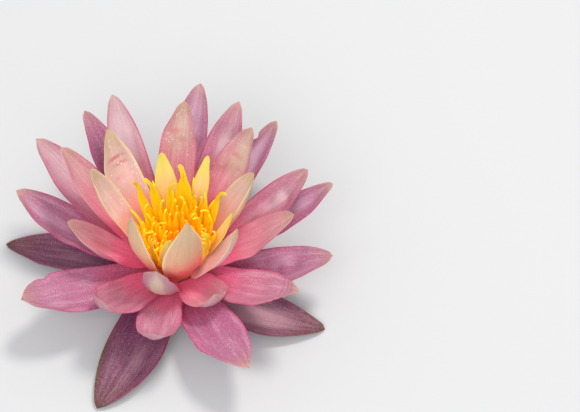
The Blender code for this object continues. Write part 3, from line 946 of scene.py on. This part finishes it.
def stamen_finish():
    """The one finish of all the fine stamens."""
    finish, shader, wire = new_finish("stamen_gold", roughness=0.40, specular=0.4, glow=0.35, depth=2.0 * MM)
    along, inner, _ = layer(wire, "place")
    tint = layer(wire, "tone")[0]
    grain = texture(wire, "Noise", GRAIN, Detail=2.0)
    # Burnt orange at the foot: partly the straps' own colour, partly painted shade where they crowd.
    color = (along + 0.30 * (tint - 0.5)).ramp({
        0.0: (255, 122, 0), 0.35: (255, 166, 0), 0.62: (255, 204, 0), 0.86: (255, 220, 14), 1.0: (255, 230, 70)})
    anther = inner.climb(0.15, 0.7) * (1 - inner.climb(0.85, 1.0))
    anther = anther * along.climb(0.15, 0.3) * (1 - along.climb(0.7, 0.85))
    color = (anther * (0.2 + 0.5 * grain)).mix(color, (255, 190, 8))
    color = (grain.climb(0.4, 0.8) * 0.18).mix(color, (255, 226, 90))
    link(shader, "Base Color", color)
    # Emission in the strap's own colour: painted light for the light that passes between the straps.
    link(shader, "Emission Color", color)
    shader.inputs["Emission Strength"].default_value = STRAP_PAINTED_GLOW
    emboss(shader, grain, strength=0.3, distance=0.3 * MM)
    return finish


STAMEN_GOLD = stamen_finish()
print("stamen finish with", len(STAMEN_GOLD.node_tree.nodes), "nodes")

# %% [markdown]
# How the straps stand: each whorl has a ring that the plain model gives, and its straps start on circles a little
# inside and outside of it, turned at random by a few degrees. Five habits are mixed, each a list of headings from
# foot to tip, where 90 is straight up, less leans outwards and more bows inwards. Straps at the back of the flower
# are longer and spread further out, where the tall petals leave them room.

# %% Grow the three whorls
UPRIGHT, HOOKED, OUT = (84, 84, 86, 92, 125), (80, 80, 86, 98, 135), (80, 76, 72, 60, 10)
BOWED, CURLED = (88, 90, 98, 112, 145), (80, 78, 86, 120, 190)
SPREAD_KEPT = (1, 1, 0.9, 0.5, 0.3)
SPIKE_FOOT, SPIKE_RADIUS, STRAP_THICK = 0.9 * MM, 0.4 * MM, 1.2 * MM
BEHIND = 0.6  # from 0 at the front of the flower to 1 at its back
WHORLS = {  # circles: millimetres outside the plain ring, count, lengths in millimetres, spread in degrees
    "outer_stamens": {
        "circles": [(0.6, 30, (15.5, 19.5), 24), (-0.3, 20, (14.0, 17.5), 18)], "width": 3.0,
        "habits": [UPRIGHT, UPRIGHT, HOOKED, HOOKED, CURLED, OUT, OUT]},
    "middle_stamens": {
        "circles": [(-0.1, 26, (13.0, 16.5), 15)], "width": 2.8,
        "habits": [UPRIGHT, UPRIGHT, HOOKED, HOOKED, CURLED]},
    "inner_stamens": {
        "circles": [(0.2, 18, (10.0, 13.0), 8), (-0.8, 10, (7.5, 9.5), 0)], "width": 2.5,
        "habits": [UPRIGHT, HOOKED, BOWED]},
}


def grow_whorl(node, whorl):
    """Grows a crowd of straps on the ring of one plain whorl."""
    rng = random.Random(node)
    foot_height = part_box(node)[0][2]
    points = welded(node)[0]
    foot = points[points[:, 2] < foot_height + SPIKE_FOOT]
    centre = (foot.max(axis=0) + foot.min(axis=0)) / 2
    radius = float(np.ptp(foot[:, 0]) / 2) - SPIKE_RADIUS
    tubes = []
    for off, count, lengths, spread in whorl["circles"]:
        for k in range(count):
            turn = math.tau * (k + rng.uniform(-0.3, 0.3)) / count
            outward = np.array([math.cos(turn), math.sin(turn), 0.0])
            back = (1 + math.sin(turn)) / 2
            start = centre + outward * (radius + (off + rng.uniform(-0.4, 0.3) - 0.6 * (1 - back)) * MM)
            start[2] = foot_height + 0.1 * MM
            habit = rng.choice(whorl["habits"])
            if habit is OUT and back < BEHIND:
                habit = HOOKED
            headings = [a + rng.uniform(-5, 5) - spread * back**0.7 * kept for a, kept in zip(habit, SPREAD_KEPT)]
            length = rng.uniform(*lengths) * (0.86 + 0.34 * back) * MM
            lean, width = rng.uniform(-0.35, 0.35), whorl["width"] * MM * rng.uniform(0.6, 1.15)
            loops, places = strap(start, outward, length, headings, lean, width, STRAP_THICK)
            tubes.append((loops, {"place": places, "tone": np.full((len(places), 3), rng.random())}))
    show(tubes_to_mesh(node + "_fine", tubes), STAMEN_GOLD, node)
    print(node, len(tubes), "straps on a ring of", round(radius / MM, 1), "mm")


for node, whorl in WHORLS.items():
    grow_whorl(node, whorl)

# %% [markdown]
# ## Receptacle, stigma and stalk
# Under the petals sits the receptacle, a fleshy cone that carries everything. Its middle ends in the stigma, a
# dish with rays and a knob, and below it comes the stalk, cut short. All three are round, so they are turned on a
# lathe from profiles of radius and height, in shares of the plain piece's own. The Screw modifier turns a profile
# as well, but it can't make rays. The flower's axis drifts sideways with height, as the plain receptacle's rings
# show, and the lathe follows it.

# %% A lathe that follows the flower's axis
def ring_centres(node):
    """Heights of a plain turned piece's rings, and where the middle of each lies from side to side."""
    rings = {}
    for x, _, z in welded(node)[0]:
        rings.setdefault(round(z, 5), []).append(x)
    return np.array([(z, (min(xs) + max(xs)) / 2) for z, xs in sorted(rings.items()) if max(xs) - min(xs) > MM])


AXIS = ring_centres("receptacle")
print("axis drifts", round((AXIS[-1, 1] - AXIS[0, 1]) / MM, 1), "mm to +X")


def turned(node, profile, segments, shape=lambda turn, share: (1.0, 0.0), wide=1.0, tall=1.0):
    """A fine turned piece for a plain one. shape gives a factor on the radius and a lift in metres."""
    low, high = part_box(node)
    reach, rise = (high[1] - low[1]) / 2 * wide, (high[2] - low[2]) * tall
    loops, places = [], []
    for i, (radius, height) in enumerate(profile):
        share, height = i / (len(profile) - 1), low[2] + height * rise
        middle = float(np.interp(height, AXIS[:, 0], AXIS[:, 1]))
        for k in range(segments):
            turn = math.tau * k / segments
            factor, lift = shape(turn, share)
            out = radius * reach * factor
            loops.append((middle + out * math.cos(turn), out * math.sin(turn), height + lift))
            places.append((share, math.sin(turn), math.cos(turn)))
    loops = list(np.array(loops).reshape(len(profile), segments, 3))
    print(node, round(2 * reach / MM, 1), "mm wide,", round(rise / MM, 1), "mm tall")
    return tubes_to_mesh(node + "_fine", [(loops, {"place": np.array(places)})])


# %% [markdown]
# The receptacle and the stalk are plant skin: cream to green and mottled. The stigma is golden and waxy. One
# function makes all three skins, with colours from the foot of the piece to its top.

# %% Skins of the middle pieces
def skin_finish(name, stops, fleck, scale, roughness):
    """A mottled plant skin whose colour runs along the piece."""
    finish, shader, wire = new_finish(name, roughness, specular=0.35, glow=0.1, depth=1.0 * MM)
    mottle = texture(wire, "Noise", scale, Detail=4.0)
    color = (layer(wire, "place")[0] + 0.2 * (mottle - 0.5)).ramp(stops)
    link(shader, "Base Color", (mottle.climb(0.5, 0.75) * 0.5).mix(color, fleck))
    emboss(shader, mottle, strength=0.4, distance=0.4 * MM)
    return finish


RECEPTACLE_SKIN = skin_finish(
    "receptacle_skin",
    {0.0: (120, 122, 62), 0.25: (190, 140, 100), 0.45: (244, 130, 110), 0.7: (252, 140, 80), 1.0: (240, 160, 40)},
    fleck=(244, 176, 130), scale=500.0, roughness=0.5)
STIGMA_SKIN = skin_finish(
    "stigma_skin", {0.0: (224, 130, 20), 0.4: (246, 190, 60), 0.7: (240, 160, 30), 1.0: (250, 206, 90)},
    fleck=(252, 214, 110), scale=900.0, roughness=0.4)
STALK_SKIN = skin_finish(
    "stalk_skin", {0.0: (150, 140, 88), 0.3: (104, 84, 48), 1.0: (112, 74, 56)},
    fleck=(140, 120, 70), scale=700.0, roughness=0.5)
print("each skin has", len(STALK_SKIN.node_tree.nodes), "nodes")

# %% [markdown]
# The receptacle is a cone that widens upwards, with three low steps on top, one for each whorl of stamens. The
# places where petals grow leave it slightly uneven all round.

# %% Receptacle
RECEPTACLE = [
    (0.30, 0.0), (0.47, 0.0), (0.58, 0.025), (0.68, 0.06), (0.80, 0.15), (0.90, 0.26), (0.97, 0.38), (1.0, 0.50),
    (1.0, 0.72), (0.97, 0.755), (0.85, 0.765), (0.84, 0.84), (0.69, 0.85), (0.68, 0.92), (0.54, 0.935), (0.52, 1.0),
    (0.25, 1.0)]
mesh = turned("receptacle", RECEPTACLE, 72, lambda turn, share: (1 + 0.012 * math.sin(9 * turn + 6 * share), 0.0))
show(mesh, RECEPTACLE_SKIN, "receptacle")

# %% [markdown]
# The stigma's dish has about fourteen rays. Each ends in a small finger that curls in over the rim, and a knob
# stands in the middle. It stays a little smaller than the plain piece, so that the fingers keep inside it.

# %% Stigma
RAYS = 14
STIGMA = [
    (0.30, 0.0), (0.86, 0.0), (0.95, 0.20), (1.0, 0.45), (1.0, 0.68), (0.97, 0.84), (0.92, 0.88), (0.84, 0.82),
    (0.72, 0.66), (0.55, 0.54), (0.38, 0.46), (0.26, 0.44), (0.22, 0.62), (0.18, 0.90), (0.10, 1.0)]


def rays(turn, share):
    """Ridges on the dish and fingers on its rim."""
    rim = math.exp(-(((share - 0.38) / 0.16) ** 2))
    dish = math.exp(-(((share - 0.68) / 0.10) ** 2))
    ridge = math.cos(RAYS * turn)
    return 1 + 0.05 * rim * ridge, (0.28 * rim + 0.14 * dish) * ridge * MM


show(turned("stigma", STIGMA, RAYS * 8, rays, wide=0.97, tall=0.85), STIGMA_SKIN, "stigma")

# %% [markdown]
# A water lily's stalk is a sponge of long air canals. Cut across, it shows a few wide holes in a ring and small
# ones between them. The stub is turned first, and then the canals are cut into its lower face with one Boolean,
# whose result is kept as a plain mesh. The cutters are turned by a hair, because a Boolean leaves flawed edges
# where a cutter's corners fall exactly on the stub's own lines, and slivers are dissolved afterwards.

# %% Stalk
STALK = [(0.4, 0.0), (0.93, 0.0), (0.985, 0.05), (1.0, 0.15), (0.99, 0.5), (0.99, 0.85), (1.0, 1.0), (0.4, 1.0)]
CANALS = ((4, 0.0, 0.42, 0.21), (4, 0.5, 0.74, 0.085), (8, 0.5, 0.84, 0.05))  # count, offset, ring, radius
HAIR, SLIVER = 0.03, 0.001 * MM

low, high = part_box("flower_stalk")
reach, rise = (high[0] - low[0]) / 2, high[2] - low[2]
cutters = bmesh.new()
for count, offset, ring, radius in CANALS:
    for k in range(count):
        turn = math.tau * (k + offset) / count + HAIR
        where = Vector((ring * reach * math.cos(turn), ring * reach * math.sin(turn), low[2]))
        bmesh.ops.create_cone(cutters, cap_ends=True, segments=20, radius1=radius * reach, radius2=radius * reach,
                              depth=1.7 * rise, matrix=Matrix.Translation(where))
canals = bpy.data.meshes.new("canals")
cutters.to_mesh(canals)
cutters.free()
cutter = bpy.data.objects.new("canals", canals)
bpy.context.scene.collection.objects.link(cutter)

stalk = show(turned("flower_stalk", STALK, 64), STALK_SKIN, "flower_stalk")
cut = stalk.modifiers.new("air_canals", "BOOLEAN")
cut.operation, cut.solver, cut.object = "DIFFERENCE", "EXACT", cutter
shape = bpy.data.meshes.new_from_object(stalk.evaluated_get(bpy.context.evaluated_depsgraph_get()))
stalk.modifiers.clear()
stalk.data = shape
bpy.data.objects.remove(cutter)

clean = bmesh.new()
clean.from_mesh(shape)
bmesh.ops.triangulate(clean, faces=clean.faces)
bmesh.ops.dissolve_degenerate(clean, dist=SLIVER, edges=clean.edges)
open_edges = sum(not edge.is_manifold for edge in clean.edges)
clean.to_mesh(shape)
clean.free()
print("the cut stalk has", len(shape.polygons), "faces and", open_edges, "open edges")

# %% [markdown]
# ## Close
# The fine flower has to fill the same box as the plain one.

# %% Write the sizes and finish
fine_low, fine_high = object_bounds()
for name, low, high in (("plain", cad_low, cad_high), ("fine", fine_low, fine_high)):
    print(name, "size in mm:", [round((b - a) / MM, 1) for a, b in zip(low, high)])
